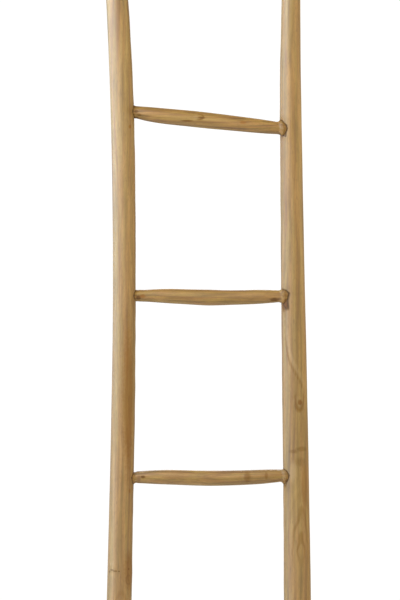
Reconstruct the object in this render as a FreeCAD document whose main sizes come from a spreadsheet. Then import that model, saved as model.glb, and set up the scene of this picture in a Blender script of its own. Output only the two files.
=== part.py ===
"""A leaning rack for quilts and throws: a ladder of debarked teak branches.

Two branch poles carry five whittled rungs. Each rung ends in a round tenon that is glued into a
blind mortise, and each tenon is locked by a wooden peg driven in from the back of the pole.

Frame: millimetres, +Z up the poles, +X from the left pole to the right one, +Y to the back, where
the wall is. The origin lies on the floor, midway between the feet.
"""

import FreeCAD, Part
import os
import Sketcher
from collections import namedtuple
from FreeCAD import Placement, Rotation, Vector
from math import pi

# Driving dimensions, in millimetres.
SIZES = {
    "pole_length": 1800.0,
    "pole_spacing": 340.0,       # between the straight lines that the two branches follow
    "foot_chamfer": 2.0,
    "top_round": 5.0,
    "first_rung_height": 186.0,  # from the floor to the lowest rung
    "top_rung_drop": 188.0,      # from the poles' tops down to the highest rung
    "tenon_diameter": 24.0,
    "tenon_past_centre": 8.0,    # how far a tenon runs beyond its pole's centre
    "tenon_tip_chamfer": 1.0,
    "shoulder_gap": 2.5,         # from the pole's skin to where a rung starts to swell
    "glue_gap": 0.1,             # all round a tenon in its mortise
    "mortise_end_gap": 1.5,      # between a tenon's tip and the mortise's floor
    "peg_diameter": 6.0,
    "peg_gap": 0.05,             # all round a peg in its hole
    "peg_bite": 2.0,             # how far a peg reaches beyond its tenon
    "peg_end_gap": 0.5,          # between a peg's tip and its hole's floor
    "peg_proud": 0.6,            # how far a peg's head stands out of the pole's back
    "peg_chamfer": 0.5,
    "drill_run_in": 12.0,        # how far outside the wood each hole is started
}

# The poles' stations, evenly spaced from foot to top. Each one gives how far the branch's centre
# lies to the right of, and behind, its straight line, and the branch's radius.
POLES = {
    "left": (
        (-10.1, 0.0, 25.4), (-6.5, 2.0, 25.1), (-2.4, 4.0, 24.8), (1.5, 5.0, 24.0),
        (4.9, 4.5, 23.6), (6.4, 3.0, 23.0), (5.9, 0.5, 23.2), (2.9, -2.5, 23.4),
        (-4.4, -5.0, 22.6), (-14.1, -5.5, 22.3), (-19.1, -4.5, 21.8),
    ),
    "right": (
        (12.9, 0.0, 28.0), (12.5, -1.5, 27.6), (12.1, -3.5, 27.0), (9.9, -4.0, 25.9),
        (7.3, -3.0, 25.1), (4.3, -1.0, 24.2), (1.8, 1.5, 22.9), (-0.6, 4.0, 21.8),
        (-0.4, 5.5, 19.5), (0.5, 6.0, 17.9), (1.5, 5.5, 17.2),
    ),
}
OUTWARD = {"left": -1, "right": 1}

# A branch's surface is made of two halves that meet well away from its holes: at this angle about
# +Z from +X, in degrees, and opposite it.
SEAM_ANGLE = 135

# Where a rung's stations lie along its shank, from the left shoulder (0) to the right one (1).
RUNG_STATIONS = (0.06, 0.16, 0.30, 0.50, 0.70, 0.86, 0.95)

# The rungs, from the lowest. Each one gives how far its two ends lie above the even spacing and how
# far behind the poles' centres, how far its middle bows to the back, and its radius and its centre's
# rise at each station.
RUNGS = (
    {
        "left_end": -3.0, "right_end": 4.0, "left_setback": 0.5, "right_setback": -3.0, "bow": 1.5,
        "girth": (12.6, 14.4, 15.6, 16.2, 15.5, 14.4, 12.9),
        "rise": (0.3, 0.8, 1.6, 2.0, 1.2, 0.4, 0.1),
    },
    {
        "left_end": 1.3, "right_end": 5.9, "left_setback": 1.5, "right_setback": -4.5, "bow": -2.0,
        "girth": (12.8, 14.2, 15.0, 15.2, 14.8, 14.3, 13.3),
        "rise": (0.0, -0.1, -1.2, -3.4, -3.2, -1.8, -0.6),
    },
    {
        "left_end": 8.8, "right_end": 7.6, "left_setback": 1.5, "right_setback": -5.0, "bow": 1.0,
        "girth": (12.1, 13.7, 15.0, 15.9, 14.5, 14.0, 12.8),
        "rise": (0.0, -0.2, -1.3, -3.3, -3.0, -1.5, -0.5),
    },
    {
        "left_end": 22.8, "right_end": -15.6, "left_setback": 2.0, "right_setback": -4.0, "bow": -1.5,
        "girth": (13.8, 15.3, 15.9, 16.0, 15.1, 14.2, 13.1),
        "rise": (-1.0, -1.9, -1.6, -0.9, -0.5, -0.3, -0.1),
    },
    {
        "left_end": 4.0, "right_end": -6.0, "left_setback": 0.5, "right_setback": -1.0, "bow": 2.0,
        "girth": (12.3, 13.6, 14.6, 15.1, 14.7, 13.8, 12.6),
        "rise": (-0.2, -0.8, -1.6, -2.4, -1.8, -0.8, -0.2),
    },
)

# The radii that a tenon, a peg and their holes take from the sheet.
TENON_RADIUS = "sizes.tenon_diameter / 2"
MORTISE_RADIUS = "sizes.tenon_diameter / 2 + sizes.glue_gap"
PEG_RADIUS = "sizes.peg_diameter / 2"
PEG_HOLE_RADIUS = "sizes.peg_diameter / 2 + sizes.peg_gap"

RIGHT = Vector(1, 0, 0)
BACK = Vector(0, 1, 0)
UP = Vector(0, 0, 1)

# The point on a rung's axis abreast of a pole's centre, the pole's radius there, and how far behind
# that point the pole's skin lies.
Joint = namedtuple("Joint", "point radius to_back")

# How each origin plane that carries a sketch turns the sketch's own axes.
PLANE_TURNS = {"XY_Plane": Rotation(), "YZ_Plane": Rotation(0.5, 0.5, 0.5, 0.5)}


def fill_sheet(doc):
    """The spreadsheet that holds every size under its alias."""
    cells = dict(SIZES)
    for side, stations in POLES.items():
        for i, (sway, setback, girth) in enumerate(stations):
            cells[f"{side}_sway_{i}"] = sway
            cells[f"{side}_setback_{i}"] = setback
            cells[f"{side}_girth_{i}"] = girth
    for i, share in enumerate(RUNG_STATIONS):
        cells[f"station_{i}"] = share
    for k, rung in enumerate(RUNGS, 1):
        for key in ("left_end", "right_end", "left_setback", "right_setback", "bow"):
            cells[f"rung_{k}_{key}"] = rung[key]
        for i in range(len(RUNG_STATIONS)):
            cells[f"rung_{k}_girth_{i}"] = rung["girth"][i]
            cells[f"rung_{k}_rise_{i}"] = rung["rise"][i]
    sheet = doc.addObject("Spreadsheet::Sheet", "sizes")
    for row, (alias, value) in enumerate(cells.items(), 1):
        sheet.set(f"A{row}", alias)
        sheet.set(f"B{row}", str(value))
        sheet.setAlias(f"B{row}", alias)
    doc.recompute()
    return sheet


def flat_end_edges(shape, axis, position):
    """The numbers of the edges that lie in the plane square to this axis at this position."""
    low, high = f"{axis}Min", f"{axis}Max"
    return [
        number
        for number, edge in enumerate(shape.Edges, 1)
        if abs(getattr(edge.BoundBox, low) - position) < 0.01
        and abs(getattr(edge.BoundBox, high) - position) < 0.01
    ]


def circle_sketch(body, name, plane, placement, radius_formula):
    """A round section centred on a placement in the body's frame, and square to its Z."""
    sketch = body.newObject("Sketcher::SketchObject", name)
    sketch.AttachmentSupport = (next(f for f in body.Origin.OriginFeatures if f.Role == plane), "")
    sketch.MapMode = "FlatFace"
    sketch.AttachmentOffset = Placement(Vector(), PLANE_TURNS[plane]).inverse() * placement
    sketch.addGeometry(Part.Circle(Vector(), UP, 1.0))
    sketch.addConstraint(Sketcher.Constraint("Coincident", 0, 3, -1, 1))
    radius = sketch.addConstraint(Sketcher.Constraint("Radius", 0, 1.0))
    sketch.setExpression(f"Constraints[{radius}]", radius_formula)
    return sketch


def chamfer_ends(body, name, axis, positions, alias):
    """Chamfers the round edges of a body's flat ends."""
    base = body.Tip
    numbers = [n for position in positions for n in flat_end_edges(base.Shape, axis, position)]
    chamfer = body.newObject("PartDesign::Chamfer", name)
    chamfer.Base = (base, [f"Edge{n}" for n in numbers])
    chamfer.setExpression("Size", f"sizes.{alias}")
    body.Document.recompute()


def ring_sketch(doc, name, radius_formula):
    """A circle drawn as two half circles that meet on the sketch's X axis."""
    ring = doc.addObject("Sketcher::SketchObject", name)
    for first in (0, pi):
        ring.addGeometry(Part.ArcOfCircle(Part.Circle(Vector(), UP, 1.0), first, first + pi))
    ring.addConstraint(Sketcher.Constraint("Coincident", 0, 3, -1, 1))
    ring.addConstraint(Sketcher.Constraint("Coincident", 1, 3, -1, 1))
    ring.addConstraint(Sketcher.Constraint("Coincident", 0, 2, 1, 1))
    ring.addConstraint(Sketcher.Constraint("Coincident", 1, 2, 0, 1))
    ring.addConstraint(Sketcher.Constraint("PointOnObject", 0, 1, -1))
    radius = ring.addConstraint(Sketcher.Constraint("Radius", 0, 1.0))
    ring.setExpression(f"Constraints[{radius}]", radius_formula)
    return ring


def make_branch(doc, sheet, side):
    """One plain branch, in its pole's frame: lofted from foot to top, with both ends eased."""
    last = len(POLES[side]) - 1
    rings = []
    for i in range(last + 1):
        ring = ring_sketch(doc, f"{side}_ring_{i}", f"sizes.{side}_girth_{i}")
        ring.Placement.Rotation = Rotation(UP, SEAM_ANGLE)
        ring.setExpression("Placement.Base.x", f"sizes.{side}_sway_{i}")
        ring.setExpression("Placement.Base.y", f"sizes.{side}_setback_{i}")
        ring.setExpression("Placement.Base.z", f"sizes.pole_length * {i} / {last}")
        rings.append(ring)
    branch = doc.addObject("Part::Loft", f"{side}_branch")
    branch.Sections = rings
    branch.Solid = True
    branch.MaxDegree = 3
    doc.recompute()
    foot = doc.addObject("Part::Chamfer", f"{side}_branch_with_foot")
    foot.Base = branch
    foot_edges = flat_end_edges(branch.Shape, "Z", 0)
    foot.Edges = [(edge, sheet.foot_chamfer, sheet.foot_chamfer) for edge in foot_edges]
    doc.recompute()
    whole = doc.addObject("Part::Fillet", f"{side}_branch_with_top")
    whole.Base = foot
    top_edges = flat_end_edges(foot.Shape, "Z", sheet.pole_length)
    whole.Edges = [(edge, sheet.top_round, sheet.top_round) for edge in top_edges]
    doc.recompute()
    return whole


def branch_at(branch, frame, height):
    """The centre and the radius of a plain branch at a height, in the document's frame."""
    box = branch.Shape.slice(UP, height)[0].BoundBox
    return frame.multVec(Vector(box.Center.x, box.Center.y, height)), box.XLength / 2


def find_joints(sheet, branches, frames, k):
    """Rung k's two joints, by side."""
    pitch = (sheet.pole_length - sheet.top_rung_drop - sheet.first_rung_height) / (len(RUNGS) - 1)
    even = sheet.first_rung_height + (k - 1) * pitch
    joints = {}
    for side in branches:
        height = even + sheet.get(f"rung_{k}_{side}_end")
        centre, radius = branch_at(branches[side], frames[side], height)
        setback = sheet.get(f"rung_{k}_{side}_setback")
        joints[side] = Joint(centre + BACK * setback, radius, radius - setback)
    return joints


def make_rung(doc, sheet, k, joints):
    """One rung, in its own frame: X along the straight line from its left joint to its right one."""
    left, right = joints["left"], joints["right"]
    name = f"rung_{k}"
    body = doc.addObject("PartDesign::Body", name)
    body.Placement = Placement(left.point, Rotation(RIGHT, right.point - left.point))
    span = (right.point - left.point).Length
    start = left.radius + sheet.shoulder_gap
    shank = span - right.radius - sheet.shoulder_gap - start
    stations = [(f"{name}_left_shoulder", start, 0, 0, TENON_RADIUS)]
    for i in range(len(RUNG_STATIONS)):
        share = sheet.get(f"station_{i}")
        bow = sheet.get(f"{name}_bow") * 4 * share * (1 - share)
        rise = sheet.get(f"{name}_rise_{i}")
        stations.append((f"{name}_section_{i}", start + share * shank, bow, rise, f"sizes.{name}_girth_{i}"))
    stations.append((f"{name}_right_shoulder", start + shank, 0, 0, TENON_RADIUS))
    sections = [
        circle_sketch(body, label, "YZ_Plane", Placement(Vector(x, y, z), PLANE_TURNS["YZ_Plane"]), radius)
        for label, x, y, z, radius in stations
    ]
    loft = body.newObject("PartDesign::AdditiveLoft", f"{name}_shank")
    loft.Profile = sections[0]
    loft.Sections = sections[1:]
    doc.recompute()
    for side, profile in (("left", sections[0]), ("right", sections[-1])):
        tenon = body.newObject("PartDesign::Pad", f"{name}_{side}_tenon")
        tenon.Profile = profile
        tenon.Reversed = side == "left"
        tenon.Length = sheet.shoulder_gap + joints[side].radius + sheet.tenon_past_centre
        doc.recompute()
    tips = (-sheet.tenon_past_centre, span + sheet.tenon_past_centre)
    chamfer_ends(body, f"{name}_tips", "X", tips, "tenon_tip_chamfer")
    return body


def peg_hole(sheet, joint):
    """The floor's placement, with Z out of the wood, and the length of a peg's hole."""
    reach = sheet.tenon_diameter / 2 + sheet.peg_bite + sheet.peg_end_gap
    floor = Placement(joint.point - BACK * reach, Rotation(UP, BACK))
    return floor, reach + joint.to_back + sheet.drill_run_in


def mortise(sheet, rung, side, joint):
    """The floor's placement, with Z out of the wood, and the length of a tenon's mortise."""
    inward = rung.Placement.Rotation.multVec(RIGHT) * -OUTWARD[side]
    reach = sheet.tenon_past_centre + sheet.mortise_end_gap
    floor = Placement(joint.point - inward * reach, Rotation(UP, inward))
    return floor, reach + joint.radius + sheet.drill_run_in


def drill(doc, name, frame, floor, radius_formula, length):
    """A cylinder to cut from a pole, in the pole's frame."""
    bit = doc.addObject("Part::Cylinder", name)
    bit.setExpression("Radius", radius_formula)
    bit.Height = length
    bit.Placement = frame.inverse() * floor
    return bit


def drill_rung(sheet, body, side, joint):
    """The stretch of a peg's hole that crosses the rung's tenon."""
    floor, length = peg_hole(sheet, joint)
    mouth = floor * Placement(UP * length, Rotation())
    local = body.Placement.inverse() * mouth
    name = f"{body.Name}_{side}_peg_hole"
    sketch = circle_sketch(body, f"{name}_end", "XY_Plane", local, PEG_HOLE_RADIUS)
    before = body.Shape.Volume
    hole = body.newObject("PartDesign::Pocket", name)
    hole.Profile = sketch
    hole.Length = length
    body.Document.recompute()
    if body.Shape.Volume >= before:
        raise ValueError(f"{name} cuts nothing")


def make_peg(doc, sheet, side, k, joint):
    """One locking peg, in its own frame: its tip at the origin, and Z towards its head."""
    name = f"{side}_peg_{k}"
    body = doc.addObject("PartDesign::Body", name)
    tip = sheet.tenon_diameter / 2 + sheet.peg_bite
    length = tip + joint.to_back + sheet.peg_proud
    body.Placement = Placement(joint.point - BACK * tip, Rotation(UP, BACK))
    shaft = body.newObject("PartDesign::Pad", f"{name}_shaft")
    shaft.Profile = circle_sketch(body, f"{name}_end", "XY_Plane", Placement(), PEG_RADIUS)
    shaft.Length = length
    doc.recompute()
    chamfer_ends(body, f"{name}_edges", "Z", (0, length), "peg_chamfer")
    return body


def make_pole(doc, side, branch, bits):
    """A pole: its branch, drilled one hole after another."""
    pole = branch
    for bit in bits:
        drilled = doc.addObject("Part::Cut", f"{side}_after_{bit.Name}")
        drilled.Base = pole
        drilled.Tool = bit
        doc.recompute()
        if drilled.Shape.Volume >= pole.Shape.Volume:
            raise ValueError(f"{bit.Name} cuts nothing")
        pole = drilled
    pole.Label = f"{side}_pole"
    pole.setExpression("Placement.Base.x", f"sizes.pole_spacing * {OUTWARD[side]} / 2")
    doc.recompute()
    return pole


def check(doc, pieces):
    """Stops before anything is written if an object failed or a piece isn't one valid solid."""
    failed = [o.Name for o in doc.Objects if {"Invalid", "Error"} & set(o.State)]
    if failed:
        raise ValueError(f"these objects failed: {failed}")
    for piece in pieces:
        shape = piece.Shape
        if shape.isNull() or not shape.isValid() or len(shape.Solids) != 1:
            raise ValueError(f"{piece.Label} is not one valid solid")


def main():
    doc = FreeCAD.newDocument("branch_ladder_rack")
    sheet = fill_sheet(doc)
    branches = {side: make_branch(doc, sheet, side) for side in POLES}
    frames = {side: Placement(RIGHT * OUTWARD[side] * sheet.pole_spacing / 2, Rotation()) for side in POLES}
    bits = {side: [] for side in POLES}
    pieces = []
    for k in range(1, len(RUNGS) + 1):
        joints = find_joints(sheet, branches, frames, k)
        rung = make_rung(doc, sheet, k, joints)
        pieces.append(rung)
        for side, joint in joints.items():
            drill_rung(sheet, rung, side, joint)
            holes = (
                ("mortise", mortise(sheet, rung, side, joint), MORTISE_RADIUS),
                ("peg_hole", peg_hole(sheet, joint), PEG_HOLE_RADIUS),
            )
            for kind, (floor, length), formula in holes:
                bits[side].append(drill(doc, f"{side}_{kind}_{k}", frames[side], floor, formula, length))
            pieces.append(make_peg(doc, sheet, side, k, joint))
    doc.recompute()
    for side in POLES:
        pieces.append(make_pole(doc, side, branches[side], bits[side]))
    check(doc, pieces)
    os.makedirs("parts", exist_ok=True)
    for piece in pieces:
        piece.Shape.exportStep(f"parts/{piece.Label}.step")


main()
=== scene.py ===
"""The looks of a leaning rack for quilts: debarked teak branches, sanded and left bare."""

from math import atan2, cos, exp, hypot, pi, radians, sin, sqrt

import bmesh
import bpy
import numpy as np
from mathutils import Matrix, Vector, noise
from mathutils.bvhtree import BVHTree


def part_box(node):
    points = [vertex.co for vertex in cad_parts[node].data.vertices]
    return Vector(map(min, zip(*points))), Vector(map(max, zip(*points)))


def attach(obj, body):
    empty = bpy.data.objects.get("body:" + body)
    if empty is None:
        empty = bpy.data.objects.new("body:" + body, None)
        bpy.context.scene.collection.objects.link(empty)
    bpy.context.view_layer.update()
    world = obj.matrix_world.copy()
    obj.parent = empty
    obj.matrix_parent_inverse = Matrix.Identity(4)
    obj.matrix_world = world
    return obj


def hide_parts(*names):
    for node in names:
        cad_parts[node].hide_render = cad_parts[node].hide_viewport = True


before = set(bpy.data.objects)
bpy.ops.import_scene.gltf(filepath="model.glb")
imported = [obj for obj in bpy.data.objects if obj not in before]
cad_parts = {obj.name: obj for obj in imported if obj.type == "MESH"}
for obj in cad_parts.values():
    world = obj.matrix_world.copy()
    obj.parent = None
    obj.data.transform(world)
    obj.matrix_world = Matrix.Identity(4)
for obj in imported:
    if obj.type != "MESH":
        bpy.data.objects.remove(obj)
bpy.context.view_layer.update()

MM = 0.001
TOP_ROUND = 5 * MM
FOOT_EASE = 2 * MM
SEAM_WIDTH = 0.9 * MM
# A stick's points beyond this share of its radius lie on its skin, and the others on its ends.
SKIN_SHARE = 0.97
# How far above or below a rung its joint can mark a pole, and how far past the pole's centre.
JOINT_REACH = 50 * MM
FAR_SIDE = 4 * MM
# How finely the sticks are cut: points round each, and rings on each end.
POLE_SEGMENTS, POLE_CAPS = 112, 6
RUNG_SEGMENTS, RUNG_CAPS = 80, 3
# Where each branch's noise starts, so that no two look alike.
POLE_SEEDS = {"left": 3.1, "right": 7.7}
RUNG_SEED = 11.3
# The uneven skin's cells, across and along the stem in metres: hollows, ripples and pits.
HOLLOW, RIPPLE, PIT = (0.022, 0.17), (0.009, 0.055), (0.004, 0.012)
RUNGS = ["rung_1", "rung_2", "rung_3", "rung_4", "rung_5"]
SIDES = {"left": -1, "right": 1}


def smoothstep(low, high, value):
    """0 below low, 1 above high, and an even S between them."""
    t = min(max((value - low) / (high - low), 0.0), 1.0)
    return t * t * (3 - 2 * t)


# ---------------------------------------------------------------- the fixed frame, measured

def surface_of(name):
    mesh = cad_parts[name].data
    return BVHTree.FromPolygons([v.co for v in mesh.vertices], [p.vertices for p in mesh.polygons])


class Branch:
    """A pole's centre line and radius, measured on its solid away from every hole."""

    def __init__(self, side):
        tree = surface_of(f"{side}_pole")
        low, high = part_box(f"{side}_pole")
        self.top = high.z
        outward = pi if side == "left" else 0.0
        spokes = [outward + radians(a) for a in range(-60, 61, 15)]
        guess = Vector((0.5 * (low.x + high.x), 0, 0))
        self.heights = np.linspace(6 * MM, self.top - 7 * MM, 73)
        fits = []
        for height in self.heights:
            hits = []
            for a in spokes:
                ray = Vector((cos(a), sin(a), 0))
                start = Vector((guess.x, guess.y, height)) + 0.09 * ray
                hit = tree.ray_cast(start, -ray)[0]
                hits.append((hit.x, hit.y))
            xy = np.array(hits)
            rows = np.column_stack([2 * xy, np.ones(len(xy))])
            cx, cy, rest = np.linalg.lstsq(rows, (xy ** 2).sum(1), rcond=None)[0]
            fits.append((cx, cy, sqrt(rest + cx * cx + cy * cy)))
            guess = Vector((cx, cy, 0))
        self.fits = np.array(fits)

    def at(self, height):
        """The centre's x and y, and the radius, at a height."""
        return [float(np.interp(height, self.heights, self.fits[:, i])) for i in range(3)]

    def outside(self, point):
        """How far a point lies outside the skin."""
        cx, cy, radius = self.at(point.z)
        return hypot(point.x - cx, point.y - cy) - radius


class Rung:
    """A rung's centre line and radius, measured on its solid between the two poles."""

    def __init__(self, name, left, right):
        tree = surface_of(name)
        self.low, self.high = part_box(name)
        middle = 0.5 * (self.low + self.high)
        lx, _, lr = left.at(middle.z)
        rx, _, rr = right.at(middle.z)
        self.skins = {"left": lx + lr, "right": rx - rr}
        self.places = np.linspace(self.skins["left"] + 2 * MM, self.skins["right"] - 2 * MM, 57)
        fits = []
        y = middle.y
        for x in self.places:
            above = tree.ray_cast(Vector((x, y, middle.z + 0.1)), Vector((0, 0, -1)))[0].z
            below = tree.ray_cast(Vector((x, y, middle.z - 0.1)), Vector((0, 0, 1)))[0].z
            z, radius = 0.5 * (above + below), 0.5 * (above - below)
            y = tree.ray_cast(Vector((x, y - 0.1, z)), Vector((0, 1, 0)))[0].y + radius
            fits.append((y, z, radius))
        self.fits = np.array(fits)
        self.slopes = {
            "left": (self.fits[2] - self.fits[0]) / (self.places[2] - self.places[0]),
            "right": (self.fits[-1] - self.fits[-3]) / (self.places[-1] - self.places[-3]),
        }

    def at(self, x):
        """The centre's y and z, and the radius, at a place along the rung."""
        y, z, radius = (float(np.interp(x, self.places, self.fits[:, i])) for i in range(3))
        for side, edge in (("left", self.places[0]), ("right", self.places[-1])):
            beyond = x - edge
            if beyond * SIDES[side] > 0:
                y += self.slopes[side][0] * beyond
                z += self.slopes[side][1] * beyond
        return y, z, radius


branches = {side: Branch(side) for side in SIDES}
rungs = {name: Rung(name, branches["left"], branches["right"]) for name in RUNGS}

# The putty of glue and sawdust packed round each rung's end, as an outline: an angle round the rung,
# in degrees (0 behind it, 90 above, 180 in front, 270 below), and how far the putty reaches past the
# rung's skin there, in millimetres.
PUTTY = {
    ("rung_1", "left"): [(0, 1), (90, 1), (180, 1.2), (250, 3), (290, 1)],
    ("rung_1", "right"): [(0, 1.5), (80, 2), (120, 5), (160, 5.2), (200, 6), (245, 4), (290, 1.5)],
    ("rung_2", "left"): [(0, 1), (90, 0.8), (180, 1), (235, 3.5), (265, 4.5), (290, 1)],
    ("rung_2", "right"): [
        (0, 1.5), (90, 2), (111, 3), (146, 5), (178, 5.8), (215, 6.5), (240, 11), (250, 12.5), (272, 3),
    ],
    ("rung_3", "left"): [(0, 1), (90, 0.6), (180, 1), (270, 0.6)],
    ("rung_3", "right"): [
        (0, 1.5), (90, 2), (112, 3.6), (140, 6.4), (162, 6.4), (187, 4.8), (210, 6.8), (232, 15.5),
        (239, 21), (243, 4), (280, 1.5),
    ],
    ("rung_4", "left"): [(0, 1), (70, 1.5), (110, 0.6), (180, 1.2), (250, 1.6), (290, 1)],
    ("rung_4", "right"): [
        (0, 1.5), (70, 3.5), (96, 5.2), (122, 6.3), (155, 6), (176, 5.3), (208, 6), (226, 10.4),
        (237, 3.4), (270, 1.5),
    ],
    ("rung_5", "left"): [(0, 1), (90, 1), (180, 1.4), (270, 2)],
    ("rung_5", "right"): [(0, 1.5), (90, 1.8), (130, 4), (180, 4.5), (225, 6), (270, 2)],
}
FLARE = 6.5 * MM
FLARE_LENGTH = 7 * MM


def flare(name, side, around):
    """How far the rung's own end swells with putty, at an angle round it in radians."""
    turns = [angle for angle, reach in PUTTY[name, side]]
    reaches = [reach for angle, reach in PUTTY[name, side]]
    return min(float(np.interp(np.degrees(around) % 360, turns, reaches, period=360)) * MM, FLARE)


def putty_edge(name, side, dy, dz, radius):
    """How far a point beside a rung lies outside the putty's outline; inside, it is negative."""
    corners = []
    for angle, reach in PUTTY[name, side]:
        far = radius + reach * MM
        corners.append((far * cos(radians(angle)), far * sin(radians(angle))))
    nearest, inside = 1.0, False
    for (y1, z1), (y2, z2) in zip(corners, corners[1:] + corners[:1]):
        ey, ez = y2 - y1, z2 - z1
        t = min(max(((dy - y1) * ey + (dz - z1) * ez) / (ey * ey + ez * ez), 0.0), 1.0)
        nearest = min(nearest, hypot(dy - y1 - t * ey, dz - z1 - t * ez))
        if (z1 > dz) != (z2 > dz) and dy < y1 + (dz - z1) * ey / ez:
            inside = not inside
    return -nearest if inside else nearest


# How much glue was smeared on the pole round these ends, and round all the others.
SMEARS = {("rung_4", "left"): 1.0, ("rung_2", "left"): 0.6, ("rung_4", "right"): 0.3}
FAINT_SMEAR = 0.15

# ---------------------------------------------------------------- shaping the wood

def stick(rings, segments, caps):
    """A closed round stick along +Z, one unit long and one in radius, as an even grid."""
    bm = bmesh.new()
    bmesh.ops.create_cone(
        bm, cap_ends=True, cap_tris=False, segments=segments, radius1=1, radius2=1, depth=1
    )
    bmesh.ops.translate(bm, verts=bm.verts, vec=(0, 0, 0.5))
    uprights = [e for e in bm.edges if abs(e.verts[0].co.z - e.verts[1].co.z) > 0.5]
    bmesh.ops.subdivide_edges(bm, edges=uprights, cuts=rings, use_grid_fill=True)
    for cap in [f for f in bm.faces if len(f.verts) == segments]:
        for _ in range(caps):
            bmesh.ops.inset_region(bm, faces=[cap], thickness=1 / (caps + 1), use_even_offset=True)
        bmesh.ops.poke(bm, faces=[cap])
    return bm


def spaced(start, end, coarse, dense, busy):
    """Places from start to end, close together within reach of each busy place."""
    places = [start]
    while places[-1] < end - 0.6 * dense:
        here = places[-1]
        near = any(abs(here + 0.5 * dense - place) < reach for place, reach in busy)
        places.append(here + (dense if near else coarse))
    places[-1] = end
    return places


def finish_piece(bm, name, layers, material, node):
    """Turns a shaped bmesh into a piece that stands for a CAD node."""
    bmesh.ops.recalc_face_normals(bm, faces=bm.faces)
    mesh = bpy.data.meshes.new(name)
    bm.verts.index_update()
    bm.to_mesh(mesh)
    bm.free()
    for layer, values in layers.items():
        mesh.attributes.new(layer, "FLOAT", "POINT").data.foreach_set("value", values)
    mesh.polygons.foreach_set("use_smooth", [True] * len(mesh.polygons))
    piece = bpy.data.objects.new(name, mesh)
    bpy.context.scene.collection.objects.link(piece)
    mesh.materials.append(material)
    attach(piece, "root")
    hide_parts(node)
    return piece


def skin_relief(point, seed):
    """The uneven skin that a drawknife and sanding leave on a branch."""
    x, y, z = point
    hollow = noise.noise(Vector((x / HOLLOW[0] + seed, y / HOLLOW[0], z / HOLLOW[1])))
    ripple = noise.noise(Vector((x / RIPPLE[0], y / RIPPLE[0] + seed, z / RIPPLE[1])))
    pit = noise.noise(Vector((x / PIT[0], y / PIT[0], z / PIT[1] + seed)))
    return (0.26 * hollow + 0.08 * ripple + 0.03 * pit) * MM


def bumps(point, knots):
    """The swelling round each knot, with the hollow ring where the branch wood closed over it."""
    height = 0.0
    for centre, size, swell in knots:
        away = (point - centre).length / size
        if away < 3:
            height += swell * (exp(-away * away) - 0.45 * exp(-((away - 1.5) / 0.35) ** 2))
    return height * MM


def on_branch(side, height, azimuth):
    """A point on a pole's skin: azimuth 0 faces the front, and it grows towards the right."""
    cx, cy, radius = branches[side].at(height)
    a = radians(azimuth)
    return Vector((cx + radius * sin(a), cy - radius * cos(a), height))


def on_rung(name, x, azimuth):
    """A point on a rung's skin: azimuth 0 faces the front, and it grows upwards."""
    y, z, radius = rungs[name].at(x)
    a = radians(azimuth)
    return Vector((x, y - radius * cos(a), z + radius * sin(a)))


def joint_marks(side, point):
    """At a point of a pole's skin: how dark the seam round a rung's end is, as the glue's own dark line
    and as painted crevice shade, how much the skin there is putty, and how lumpy the smeared glue beyond
    it leaves the wood."""
    seam, putty, lumps = 0.0, 0.0, 0.0
    for name, rung in rungs.items():
        y, z, radius = rung.at(rung.skins[side])
        inward = (branches[side].at(z)[0] - point.x) * SIDES[side]
        if abs(point.z - z) > JOINT_REACH or -inward > FAR_SIDE:
            continue
        near = smoothstep(5 * MM, 8 * MM, inward)
        y, z, radius = rung.at(point.x)
        gap = putty_edge(name, side, point.y - y, point.z - z, radius)
        seam = max(seam, near * exp(-(gap / SEAM_WIDTH) ** 2))
        putty = max(putty, near * (1 - smoothstep(-0.8 * MM, 0.8 * MM, gap)))
        lumps = max(lumps, SMEARS.get((name, side), FAINT_SMEAR) * (1 - smoothstep(2 * MM, 16 * MM, gap)))
    return seam, putty, lumps


def make_pole(side, knots, material):
    """One pole: a branch with an eased foot, a rounded top and sunk seams round its rungs."""
    branch = branches[side]
    joints = [(rung.at(rung.skins[side])[1], 24 * MM) for rung in rungs.values()]
    busy = joints + [(centre.z, 14 * MM) for centre, size, swell in knots]
    ends = [0, 0.5 * MM, 1.2 * MM, FOOT_EASE]
    crown = [branch.top - TOP_ROUND + TOP_ROUND * sin(radians(a)) for a in (0, 18, 36, 54, 72, 90)]
    heights = ends + spaced(FOOT_EASE, crown[0], 6 * MM, 1.4 * MM, busy)[1:-1] + crown
    bm = stick(len(heights) - 2, POLE_SEGMENTS, POLE_CAPS)
    layers = {"seam": [], "putty": [], "end_grain": []}
    seed = POLE_SEEDS[side]
    for v in bm.verts:
        around = atan2(v.co.y, v.co.x)
        share = hypot(v.co.x, v.co.y)
        height = heights[round(v.co.z * (len(heights) - 1))]
        cx, cy, radius = branch.at(height)
        ray = Vector((cos(around), sin(around), 0))
        eased = 0.0
        if height > branch.top - TOP_ROUND:
            eased = TOP_ROUND - sqrt(max(TOP_ROUND ** 2 - (height - branch.top + TOP_ROUND) ** 2, 0))
        if height < FOOT_EASE:
            eased = FOOT_EASE - height
        on_skin = share > SKIN_SHARE
        point = Vector((cx, cy, height)) + radius * ray
        out = radius - eased + skin_relief(point, seed) + bumps(point, knots)
        seam, putty, lumps = joint_marks(side, point) if on_skin else (0.0, 0.0, 0.0)
        if lumps > 0:
            out += 0.9 * MM * lumps * max(noise.noise(point / (3.2 * MM)), -0.2)
        out -= 0.4 * MM * seam
        v.co = Vector((cx, cy, height)) + ray * out * (1 if on_skin else share)
        layers["seam"].append(seam)
        layers["putty"].append(max(putty, 0.5 * lumps))
        layers["end_grain"].append(0.0 if on_skin and eased < 0.8 * FOOT_EASE else 1.0)
    return finish_piece(bm, f"{side}_pole_wood", layers, material, f"{side}_pole")


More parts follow.
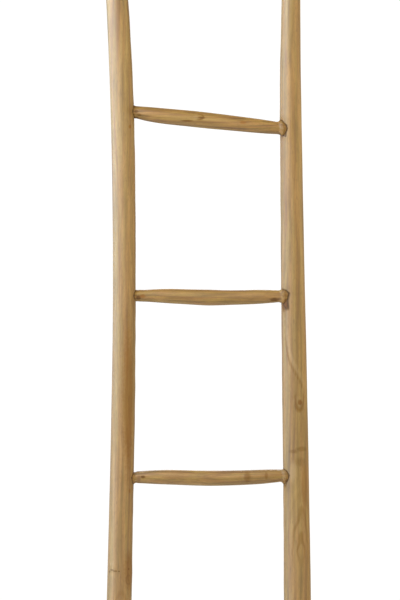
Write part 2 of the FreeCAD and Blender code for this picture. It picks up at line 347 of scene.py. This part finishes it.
def make_rung(name, knots, material):
    """One rung: a branch whittled to a tenon at each end, with a glued collar at each pole."""
    rung = rungs[name]
    low, high = rung.low.x, rung.high.x
    busy = [(x, 20 * MM) for x in rung.skins.values()]
    places = spaced(low, high, 3.5 * MM, 1.1 * MM, busy)
    bm = stick(len(places) - 2, RUNG_SEGMENTS, RUNG_CAPS)
    layers = {"seam": [], "putty": [], "end_grain": []}
    seed = RUNG_SEED * (1 + RUNGS.index(name))
    facets = 9
    for v in bm.verts:
        around = atan2(v.co.y, v.co.x)
        share = hypot(v.co.x, v.co.y)
        x = places[round(v.co.z * (len(places) - 1))]
        y, z, radius = rung.at(x)
        ray = Vector((0, cos(around), sin(around)))
        centre = Vector((x, y, z))
        point = centre + radius * ray
        side = "left" if x < 0 else "right"
        outside = branches[side].outside(point)
        whittled = 1 - smoothstep(12 * MM, 46 * MM, outside)
        turn = (around + seed + 3 * x) % (2 * pi / facets) - pi / facets
        flat = cos(pi / facets) / cos(turn) * 1.02 - 1
        out = radius * (1 + flat * (0.10 + 0.80 * whittled))
        swapped = Vector((point.y, point.z, point.x))
        out += 0.9 * skin_relief(swapped, seed) + bumps(point, knots)
        swell = max(1 - max(outside, 0) / FLARE_LENGTH, 0) ** 2
        out += swell * (flare(name, side, around) + 0.7 * MM * noise.noise(point / (3.5 * MM)))
        # Where the rung meets the pole's skin it is grooved a little, and its seam layer paints a dark
        # line there: the glue's own colour and painted crevice shade.
        edge = branches[side].outside(centre + out * ray)
        seam = exp(-(edge / SEAM_WIDTH) ** 2)
        out -= 0.3 * MM * seam
        if edge < -6 * MM:
            out = radius
        if (branches[side].at(z)[0] - x) * SIDES[side] < 6 * MM:
            while out > 2 * MM and branches[side].outside(centre + out * ray) > -2 * MM:
                out -= 0.5 * MM
        on_skin = share > SKIN_SHARE
        v.co = centre + ray * out * (1 if on_skin else share)
        layers["seam"].append(seam if on_skin else 0.0)
        layers["putty"].append(swell if on_skin else 0.0)
        layers["end_grain"].append(0.0 if on_skin else 1.0)
    return finish_piece(bm, f"{name}_wood", layers, material, name)


# ---------------------------------------------------------------- materials

def linear(code):
    """An sRGB hex colour as the linear one that a shader takes."""
    parts = [int(code[i:i + 2], 16) / 255 for i in (1, 3, 5)]
    return tuple(c / 12.92 if c <= 0.04045 else ((c + 0.055) / 1.055) ** 2.4 for c in parts) + (1.0,)


def node(tree, kind, settings=None, inputs=None):
    """Adds one node, with its settings, and with a value or a link for each input named."""
    made = tree.nodes.new(kind)
    for key, value in (settings or {}).items():
        setattr(made, key, value)
    for key, value in (inputs or {}).items():
        if isinstance(value, bpy.types.NodeSocket):
            tree.links.new(value, made.inputs[key])
        else:
            made.inputs[key].default_value = value
    return made


def sanded_teak(name, marks, along_x, coarse, tones, gloss):
    """Debarked teak branch, sanded and rubbed with wax: long olive, tan and reddish bands that follow
    the stem, soft clouds, fine fibres, growth rings that close round each knot, and brown putty in the
    joints. It looks dry and soft, with a broad dull shine that pales the side towards the light."""
    material = bpy.data.materials.new(name)
    material.use_nodes = True
    tree = material.node_tree
    tree.nodes.clear()
    coords = node(tree, "ShaderNodeTexCoord").outputs["Object"]
    wander = node(tree, "ShaderNodeTexNoise", inputs={"Vector": coords, "Scale": 4.5, "Detail": 1.0})
    shift = node(tree, "ShaderNodeVectorMath", {"operation": "SUBTRACT"}, {
        0: wander.outputs["Color"], 1: (0.5, 0.5, 0.5)})
    sway = node(tree, "ShaderNodeVectorMath", {"operation": "SCALE"}, {
        0: shift.outputs[0], "Scale": 0.014})
    bent = node(tree, "ShaderNodeVectorMath", {"operation": "ADD"}, {0: coords, 1: sway.outputs[0]})

    # Each pattern follows the stem: how wide and how long its cells are, in millimetres, in a thick
    # branch. A thin one has a finer grain.
    grain = {}
    for label, width, length, detail, offset in (
        ("bands", 7, 260, 2.0, 0.0), ("hues", 8, 220, 1.0, 3.0), ("clouds", 13, 42, 2.0, 5.0),
        ("streaks", 3, 50, 2.0, 7.0), ("fibres", 0.8, 15, 3.0, 9.0), ("rings", 17, 230, 0.0, 11.0),
        ("pores", 0.7, 9, 0.0, 13.0),
    ):
        across, along = 1 / (coarse * width * MM), 1 / (coarse * length * MM)
        scale = (along, across, across) if along_x else (across, across, along)
        stretched = node(tree, "ShaderNodeMapping", inputs={
            "Vector": bent.outputs[0], "Location": (offset, offset, offset), "Scale": scale})
        grain[label] = node(tree, "ShaderNodeTexNoise", inputs={
            "Vector": stretched.outputs[0], "Scale": 1.0, "Detail": detail, "Roughness": 0.55,
        }).outputs[0]

    # Bands: dark, middle and pale wood, in an olive and a reddish kind.
    kinds = []
    for dark, middle, pale in tones:
        ramp = node(tree, "ShaderNodeValToRGB", inputs={0: grain["bands"]})
        stops = ramp.color_ramp.elements
        stops.new(0.5)
        for stop, place, tone in zip(stops, (0.28, 0.5, 0.74), (dark, middle, pale)):
            stop.position = place
            stop.color = linear(tone)
        kinds.append(ramp.outputs[0])
    kind = node(tree, "ShaderNodeMapRange", {"interpolation_type": "SMOOTHSTEP"}, {
        0: grain["hues"], 1: 0.36, 2: 0.64})
    wood = node(tree, "ShaderNodeMix", {"data_type": "RGBA"}, {
        0: kind.outputs[0], 6: kinds[0], 7: kinds[1]})

    # Clouds, streaks and fibres lighten and darken it a little.
    shade = None
    for label, weight in (("clouds", 0.42), ("streaks", 0.26), ("fibres", 0.32)):
        tint = node(tree, "ShaderNodeMath", {"operation": "MULTIPLY_ADD"}, {
            0: grain[label], 1: weight, 2: 1 - 0.5 * weight})
        shade = tint if shade is None else node(tree, "ShaderNodeMath", {"operation": "MULTIPLY"}, {
            0: shade.outputs[0], 1: tint.outputs[0]})
    wood = node(tree, "ShaderNodeMix", {"data_type": "RGBA", "blend_type": "MULTIPLY"}, {
        0: 1.0, 6: wood.outputs[2], 7: shade.outputs[0]})

    # Growth rings that the skin cuts at a low angle, as thin brown contour lines.
    waves = node(tree, "ShaderNodeMath", {"operation": "MULTIPLY"}, {0: grain["rings"], 1: 46.0})
    crest = node(tree, "ShaderNodeMath", {"operation": "SINE"}, {0: waves.outputs[0]})
    lines = node(tree, "ShaderNodeMapRange", inputs={
        0: crest.outputs[0], 1: 0.6, 2: 1.0, 3: 0.0, 4: 0.12})
    wood = node(tree, "ShaderNodeMix", {"data_type": "RGBA"}, {
        0: lines.outputs[0], 6: wood.outputs[2], 7: linear("#6E4C22")})

    # Teak's open pores, as short dark dashes, drawn twice as wide as real ones so that they show.
    dashes = node(tree, "ShaderNodeMapRange", inputs={
        0: grain["pores"], 1: 0.6, 2: 0.75, 3: 0.0, 4: 0.4})
    wood = node(tree, "ShaderNodeMix", {"data_type": "RGBA"}, {
        0: dashes.outputs[0], 6: wood.outputs[2], 7: linear("#6B481A")})

    # Putty of glue and sawdust round the rungs' ends.
    putty = node(tree, "ShaderNodeAttribute", {"attribute_name": "putty"})
    crumbs = node(tree, "ShaderNodeTexNoise", inputs={"Vector": coords, "Scale": 420.0, "Detail": 2.0})
    putty_tone = node(tree, "ShaderNodeMix", {"data_type": "RGBA"}, {
        0: crumbs.outputs[0], 6: linear("#684616"), 7: linear("#92692C")})
    putty_depth = node(tree, "ShaderNodeMath", {"operation": "MULTIPLY"}, {
        0: putty.outputs["Fac"], 1: 0.65})
    wood = node(tree, "ShaderNodeMix", {"data_type": "RGBA"}, {
        0: putty_depth.outputs[0], 6: wood.outputs[2], 7: putty_tone.outputs[2]})

    # Knots, scars and stains, each with its own rings or none. Among them are painted shadows and a
    # painted highlight.
    ragged = node(tree, "ShaderNodeTexNoise", inputs={"Vector": coords, "Scale": 160.0, "Detail": 2.0})
    wavy = node(tree, "ShaderNodeTexNoise", inputs={"Vector": coords, "Scale": 32.0, "Detail": 1.0})
    rough = putty.outputs["Fac"]
    for centre, width, length, rings, opening, strength, colour in marks:
        across, along = 1 / (width * MM), 1 / (length * MM)
        scale = (along, across, across) if along_x else (across, across, along)
        local = node(tree, "ShaderNodeVectorMath", {"operation": "SUBTRACT"}, {0: coords, 1: centre})
        sized = node(tree, "ShaderNodeVectorMath", {"operation": "MULTIPLY"}, {
            0: local.outputs[0], 1: scale})
        away = node(tree, "ShaderNodeVectorMath", {"operation": "LENGTH"}, {0: sized.outputs[0]})
        uneven = node(tree, "ShaderNodeMath", {"operation": "MULTIPLY_ADD"}, {
            0: (wavy if rings else ragged).outputs[0], 1: 0.4, 2: away.outputs["Value"]})
        window = node(tree, "ShaderNodeMapRange", {"interpolation_type": "SMOOTHSTEP"}, {
            0: uneven.outputs[0], 1: 0.6, 2: 1.3, 3: strength, 4: 0.0})
        mark = window.outputs[0]
        if opening:
            parts = node(tree, "ShaderNodeSeparateXYZ", inputs={0: sized.outputs[0]})
            closed = node(tree, "ShaderNodeMapRange", {"interpolation_type": "SMOOTHSTEP"}, {
                0: parts.outputs["X" if along_x else "Z"],
                1: -0.1 * opening, 2: 0.35 * opening, 3: 1.0, 4: 0.0})
            mark = node(tree, "ShaderNodeMath", {"operation": "MULTIPLY"}, {
                0: closed.outputs[0], 1: mark}).outputs[0]
        if rings:
            phase = node(tree, "ShaderNodeMath", {"operation": "MULTIPLY"}, {
                0: uneven.outputs[0], 1: 2 * pi * rings})
            wave = node(tree, "ShaderNodeMath", {"operation": "SINE"}, {0: phase.outputs[0]})
            band = node(tree, "ShaderNodeMapRange", inputs={0: wave.outputs[0], 1: -0.2, 2: 1.0})
            mark = node(tree, "ShaderNodeMath", {"operation": "MULTIPLY"}, {
                0: band.outputs[0], 1: mark}).outputs[0]
        wood = node(tree, "ShaderNodeMix", {"data_type": "RGBA"}, {
            0: mark, 6: wood.outputs[2], 7: linear(colour)})
        if colour != PALE:
            rough = node(tree, "ShaderNodeMath", {"operation": "MAXIMUM"}, {
                0: rough, 1: mark}).outputs[0]

    # The dark seam at the putty's edge: the glue's own dark line, and painted shade in the crevice
    # between rung and pole.
    seam = node(tree, "ShaderNodeAttribute", {"attribute_name": "seam"})
    seam_depth = node(tree, "ShaderNodeMath", {"operation": "MULTIPLY"}, {
        0: seam.outputs["Fac"], 1: 0.85})
    wood = node(tree, "ShaderNodeMix", {"data_type": "RGBA"}, {
        0: seam_depth.outputs[0], 6: wood.outputs[2], 7: linear("#38230D")})

    # End grain on the sawn ends: closer, darker, and freckled with pores.
    end = node(tree, "ShaderNodeAttribute", {"attribute_name": "end_grain"})
    pores = node(tree, "ShaderNodeTexNoise", inputs={"Vector": coords, "Scale": 900.0, "Detail": 2.0})
    pored = node(tree, "ShaderNodeMapRange", inputs={0: pores.outputs[0], 1: 0.4, 2: 0.62})
    end_tone = node(tree, "ShaderNodeMix", {"data_type": "RGBA"}, {
        0: pored.outputs[0], 6: linear("#73502A"), 7: linear("#A27A46")})
    wood = node(tree, "ShaderNodeMix", {"data_type": "RGBA"}, {
        0: end.outputs["Fac"], 6: wood.outputs[2], 7: end_tone.outputs[2]})

    bump = node(tree, "ShaderNodeBump", inputs={
        "Height": grain["fibres"], "Strength": 0.2, "Distance": 0.25 * MM})
    # The wax doesn't reach into the seams, and it sinks into putty, knots and scars.
    rough = node(tree, "ShaderNodeMath", {"operation": "MAXIMUM"}, {0: seam.outputs["Fac"], 1: rough})
    weight, sheen = gloss
    wax = node(tree, "ShaderNodeMapRange", inputs={
        0: rough.outputs[0], 1: 0.0, 2: 0.7, 3: weight, 4: 0.0})
    shader = node(tree, "ShaderNodeBsdfPrincipled", inputs={
        "Base Color": wood.outputs[2], "Roughness": 0.6, "Normal": bump.outputs[0],
        "IOR": 1.5, "Coat Weight": wax.outputs[0], "Coat IOR": 1.8, "Coat Roughness": 0.6,
        "Sheen Weight": sheen, "Sheen Roughness": 0.5, "Sheen Tint": linear("#FAEEE2"),
    })
    node(tree, "ShaderNodeOutputMaterial", inputs={"Surface": shader.outputs[0]})
    return material


def peg_end_grain():
    """Teak pegs, sawn flush and sanded: dark end grain with tight rings and open pores."""
    material = bpy.data.materials.new("teak_end_grain")
    material.use_nodes = True
    tree = material.node_tree
    tree.nodes.clear()
    coords = node(tree, "ShaderNodeTexCoord").outputs["Object"]
    pores = node(tree, "ShaderNodeTexNoise", inputs={"Vector": coords, "Scale": 1400.0, "Detail": 2.0})
    wide = node(tree, "ShaderNodeTexNoise", inputs={"Vector": coords, "Scale": 260.0, "Detail": 1.0})
    mixed = node(tree, "ShaderNodeMix", inputs={0: 0.5, 2: pores.outputs[0], 3: wide.outputs[0]})
    ramp = node(tree, "ShaderNodeValToRGB", inputs={0: mixed.outputs[0]})
    ramp.color_ramp.elements[0].position = 0.38
    ramp.color_ramp.elements[0].color = linear("#4F361C")
    ramp.color_ramp.elements[1].position = 0.62
    ramp.color_ramp.elements[1].color = linear("#8E683C")
    bump = node(tree, "ShaderNodeBump", inputs={
        "Height": pores.outputs[0], "Strength": 0.3, "Distance": 0.2 * MM})
    shader = node(tree, "ShaderNodeBsdfPrincipled", inputs={
        "Base Color": ramp.outputs[0], "Roughness": 0.6, "Normal": bump.outputs[0]})
    node(tree, "ShaderNodeOutputMaterial", inputs={"Surface": shader.outputs[0]})
    return material


# ---------------------------------------------------------------- the rack

# Knots that swell the wood: where each one is, its size in metres, and its swell in millimetres.
pole_knots = {
    "left": [
        (on_branch("left", 0.363, -30), 9 * MM, 0.7),
        (on_branch("left", 1.12, 195), 10 * MM, 1.2),
        (on_branch("left", 0.86, 215), 11 * MM, 1.3),
        (on_branch("left", 1.66, -70), 8 * MM, 1.0),
    ],
    "right": [
        (on_branch("right", 0.695, 20), 9 * MM, 0.9),
        (on_branch("right", 0.24, 60), 11 * MM, 1.2),
        (on_branch("right", 1.31, 170), 9 * MM, 1.1),
        (on_branch("right", 1.69, 30), 7 * MM, 0.8),
    ],
}
# Marks in the wood: each one's place, half its width and length in millimetres, its number of rings
# (or none for a plain mark), which side its rings are open to (1 above or right, -1 below or left, 0
# closed), how strong it is, and its colour. Among them are painted shadows under the right ends of
# rung_3 and rung_4, and a painted highlight beside rung_2's right end.
KNOT, RING, SCAR, RUST, PALE = "#56340F", "#7C5018", "#684212", "#98601F", "#CDAF7C"
# The edge of a healed side branch winds down the right pole: its height and azimuth along the way.
HEALED_EDGE = [
    (0.869, -46), (0.853, -47), (0.837, -47), (0.824, -45), (0.812, -42), (0.801, -38), (0.791, -34),
    (0.783, -29), (0.775, -23), (0.768, -15), (0.761, -6), (0.754, 4), (0.746, 14), (0.738, 24),
    (0.730, 34),
]
pole_marks = {
    "left": [
        (on_branch("left", 0.3565, -56), 5, 3, 0, 0, 0.5, KNOT),
        (on_branch("left", 0.3600, -40), 6, 2.6, 0, 0, 0.55, KNOT),
        (on_branch("left", 0.3580, -22), 6, 2.6, 0, 0, 0.5, KNOT),
        (on_branch("left", 0.3576, -3), 2, 2, 0, 0, 0.7, KNOT),
        (on_branch("left", 0.362, 46), 3, 3, 0, 0, 0.7, KNOT),
        (on_branch("left", 0.357, 54), 17, 50, 0, 0, 0.5, "#865318"),
        (on_branch("left", 0.34, 47), 12, 16, 1.6, 0, 0.5, RING),
        (on_branch("left", 0.27, 10), 22, 60, 2.4, -1, 0.4, RING),
        (on_branch("left", 1.12, 195), 7, 12, 4, 0, 0.7, KNOT),
        (on_branch("left", 0.86, 215), 8, 13, 4, 0, 0.7, KNOT),
        (on_branch("left", 1.66, -70), 6, 10, 3, 0, 0.7, KNOT),
        (on_branch("left", 1.245, 40), 4, 5, 0, 0, 0.6, RUST),
        (on_branch("left", 0.518, 45), 4, 6, 0, 0, 0.5, RUST),
        (on_branch("left", 0.70, 26), 15, 190, 0, 0, 0.58, "#8C5818"),
    ],
    "right": [(on_branch("right", z, a), 2.2, 9, 0, 0, 0.35, RING) for z, a in HEALED_EDGE] + [
        (on_branch("right", z + 0.002, a + 13), 3.5, 11, 0, 0, 0.22, PALE) for z, a in HEALED_EDGE] + [
        (on_branch("right", 0.704, 20), 17, 40, 1.6, 1, 0.6, RING),
        (on_branch("right", 0.695, 23), 6, 7, 0, 0, 0.65, "#804A18"),
        (on_branch("right", 0.40, 18), 31, 130, 3, -1, 0.4, RING),
        (on_branch("right", 0.597, -12), 12, 5, 0, 0, 0.35, SCAR),
        (on_branch("right", 0.602, 30), 16, 6, 0, 0, 0.35, SCAR),
        (on_branch("right", 0.576, 22), 14, 11, 0, 0, 0.25, SCAR),
        # Painted highlight on the right pole, beside rung_2's right end.
        (on_branch("right", 0.556, -14), 8, 26, 0, 0, 0.4, PALE),
        (on_branch("right", 0.530, 40), 9, 60, 0, 0, 0.35, RUST),
        # Painted shadow of rung_3 on the right pole, under its right end.
        (on_branch("right", 0.889, -50), 11, 17, 0, 0, 0.75, "#6B3C08"),
        # Painted shadow in the crevice under rung_4's right end, on the right pole.
        (on_branch("right", 1.233, -54), 8, 13, 0, 0, 0.8, "#5C3608"),
        (on_branch("right", 0.24, 60), 8, 14, 4, 0, 0.7, KNOT),
        (on_branch("right", 1.31, 170), 7, 12, 4, 0, 0.7, KNOT),
        (on_branch("right", 1.69, 30), 5, 9, 3, 0, 0.6, KNOT),
    ],
}
rung_knots = {
    "rung_1": [(on_rung("rung_1", 0.05, 30), 7 * MM, 0.8)],
    "rung_2": [(on_rung("rung_2", 0.082, 5), 7 * MM, 0.7)],
    "rung_3": [],
    "rung_4": [(on_rung("rung_4", -0.014, 15), 7 * MM, 0.8)],
    "rung_5": [(on_rung("rung_5", -0.07, -25), 7 * MM, 0.8)],
}
rung_marks = [
    (on_rung("rung_1", 0.05, 30), 9, 15, 1.6, 0, 0.55, RING),
    (on_rung("rung_2", 0.082, 5), 16, 8, 0, 0, 0.5, RING),
    (on_rung("rung_2", 0.120, 10), 10, 4, 0, 0, 0.5, RING),
    (on_rung("rung_2", -0.126, 5), 4, 6, 0, 0, 0.85, SCAR),
    (on_rung("rung_2", -0.134, -12), 8, 5, 0, 0, 0.5, "#8A6450"),
    (on_rung("rung_3", -0.135, -22), 6, 6, 0, 0, 0.85, SCAR),
    (on_rung("rung_3", -0.127, -5), 5, 7, 0, 0, 0.6, RUST),
    (on_rung("rung_3", 0.136, -35), 6, 11, 0, 0, 0.75, SCAR),
    (on_rung("rung_4", -0.014, 15), 10, 16, 1.6, -1, 0.65, RING),
    (on_rung("rung_4", -0.010, 12), 2.5, 10, 0, 0, 0.75, SCAR),
    (on_rung("rung_4", -0.038, -20), 2.5, 14, 0, 0, 0.7, SCAR),
    (on_rung("rung_4", 0.074, 12), 4, 8, 0, 0, 0.5, RUST),
    (on_rung("rung_4", 0.154, -52), 5, 5, 0, 0, 0.8, KNOT),
    (on_rung("rung_4", 0.148, -66), 4, 5, 0, 0, 0.7, KNOT),
    (on_rung("rung_2", 0.161, -38), 3, 3, 0, 0, 0.8, RUST),
    (on_rung("rung_4", -0.139, 5), 4, 5, 0, 0, 0.7, SCAR),
    (on_rung("rung_4", -0.134, -22), 4, 6, 0, 0, 0.6, SCAR),
    (on_rung("rung_4", -0.139, -62), 4, 5, 0, 0, 0.85, KNOT),
    (on_rung("rung_5", -0.07, -25), 9, 15, 1.6, 0, 0.55, RING),
]

# The olive and the reddish kind of wood, each dark, middle and pale.
POLE_TONES = [("#876829", "#A48138", "#BA9A54"), ("#8B632B", "#A97E3A", "#BF9553")]
RUNG_TONES = [("#775B20", "#A17D32", "#B99649"), ("#7E5622", "#A67A36", "#BA8D4A")]
for side in SIDES:
    wood = sanded_teak(f"sanded_teak_{side}_pole", pole_marks[side], False, 1.0, POLE_TONES, (1.0, 0.3))
    make_pole(side, pole_knots[side], wood)
rung_wood = sanded_teak("whittled_teak_rungs", rung_marks, True, 0.65, RUNG_TONES, (0.6, 0.1))
for name in RUNGS:
    make_rung(name, rung_knots[name], rung_wood)
peg_wood = peg_end_grain()
for name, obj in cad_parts.items():
    if "peg" in name:
        obj.data.materials.clear()
        obj.data.materials.append(peg_wood)


# ---------------------------------------------------------------- studio

FLOOR_RADIUS = 1.2
LAMP_WIDTH = 0.8
LAMP_DISTANCE = 1.5

def make_floor():
    """A round sheet of pale matt paper under the rack."""
    bm = bmesh.new()
    bmesh.ops.create_circle(bm, cap_ends=True, segments=96, radius=FLOOR_RADIUS)
    mesh = bpy.data.meshes.new("floor")
    bm.to_mesh(mesh)
    bm.free()
    material = bpy.data.materials.new("pale_matt_paper")
    material.use_nodes = True
    shader = material.node_tree.nodes["Principled BSDF"]
    shader.inputs["Base Color"].default_value = linear("#F1F0EE")
    shader.inputs["Roughness"].default_value = 0.9
    mesh.materials.append(material)
    floor = bpy.data.objects.new("floor", mesh)
    bpy.context.scene.collection.objects.link(floor)


def soft_light(name, azimuth, height, power, colour):
    """A square soft light beside the rack, aimed at its middle. Azimuth 0 is straight in front."""
    data = bpy.data.lights.new(name, "AREA")
    data.shape = "SQUARE"
    data.size = LAMP_WIDTH
    data.energy = power
    data.color = linear(colour)[:3]
    lamp = bpy.data.objects.new(name, data)
    a = radians(azimuth)
    lamp.location = (LAMP_DISTANCE * sin(a), -LAMP_DISTANCE * cos(a), height)
    target = Vector((0, 0, min(max(height, 0.7), 1.2)))
    lamp.rotation_euler = (target - lamp.location).to_track_quat("-Z", "Y").to_euler()
    lamp.visible_camera = False
    bpy.context.scene.collection.objects.link(lamp)


def make_world():
    """A white backdrop behind everything, and a weaker, warm, even light from all round."""
    world = bpy.data.worlds.new("white_studio")
    bpy.context.scene.world = world
    world.use_nodes = True
    tree = world.node_tree
    tree.nodes.clear()
    path = node(tree, "ShaderNodeLightPath")
    even = node(tree, "ShaderNodeBackground", inputs={"Color": linear(WARM), "Strength": 0.2})
    white = node(tree, "ShaderNodeBackground", inputs={"Color": (1, 1, 1, 1), "Strength": 1.05})
    both = node(tree, "ShaderNodeMixShader", inputs={
        0: path.outputs["Is Camera Ray"], 1: even.outputs[0], 2: white.outputs[0]})
    node(tree, "ShaderNodeOutputWorld", inputs={"Surface": both.outputs[0]})


# Cool window light from the left, clear light in front and warm room light from the right.
COOL, CLEAR, WARM = "#B0D4FF", "#F2F5FF", "#FFEEC2"
make_floor()
make_world()
soft_light("left_high", -83, 2.0, 13, COOL)
soft_light("left_side", -100, 1.2, 9, COOL)
soft_light("left_low", -75, 0.4, 6.5, CLEAR)
soft_light("front_left", -50, 2.0, 28, CLEAR)
soft_light("front", 0, 1.2, 3.5, CLEAR)
soft_light("right_high", 60, 2.0, 9, WARM)
soft_light("right_low", 60, 0.4, 3, WARM)
soft_light("right_side", 100, 1.2, 4.5, WARM)
soft_light("back", 180, 1.4, 9, CLEAR)

# The camera stands level in front of the rack, far enough back for its lines to stay straight.
VIEW_HEIGHT = 1.2
DISTANCE = 8.0
SENSOR = 36
view_centre = Vector((-0.0121, 0, 0.899))
lens = bpy.data.cameras.new("camera")
lens.sensor_width = SENSOR
lens.lens = SENSOR * DISTANCE / VIEW_HEIGHT
camera = bpy.data.objects.new("camera", lens)
camera.location = view_centre - Vector((0, DISTANCE, 0))
camera.rotation_euler = (pi / 2, 0, 0)
bpy.context.scene.collection.objects.link(camera)
bpy.context.scene.camera = camera
bpy.context.scene.view_settings.view_transform = "Standard"
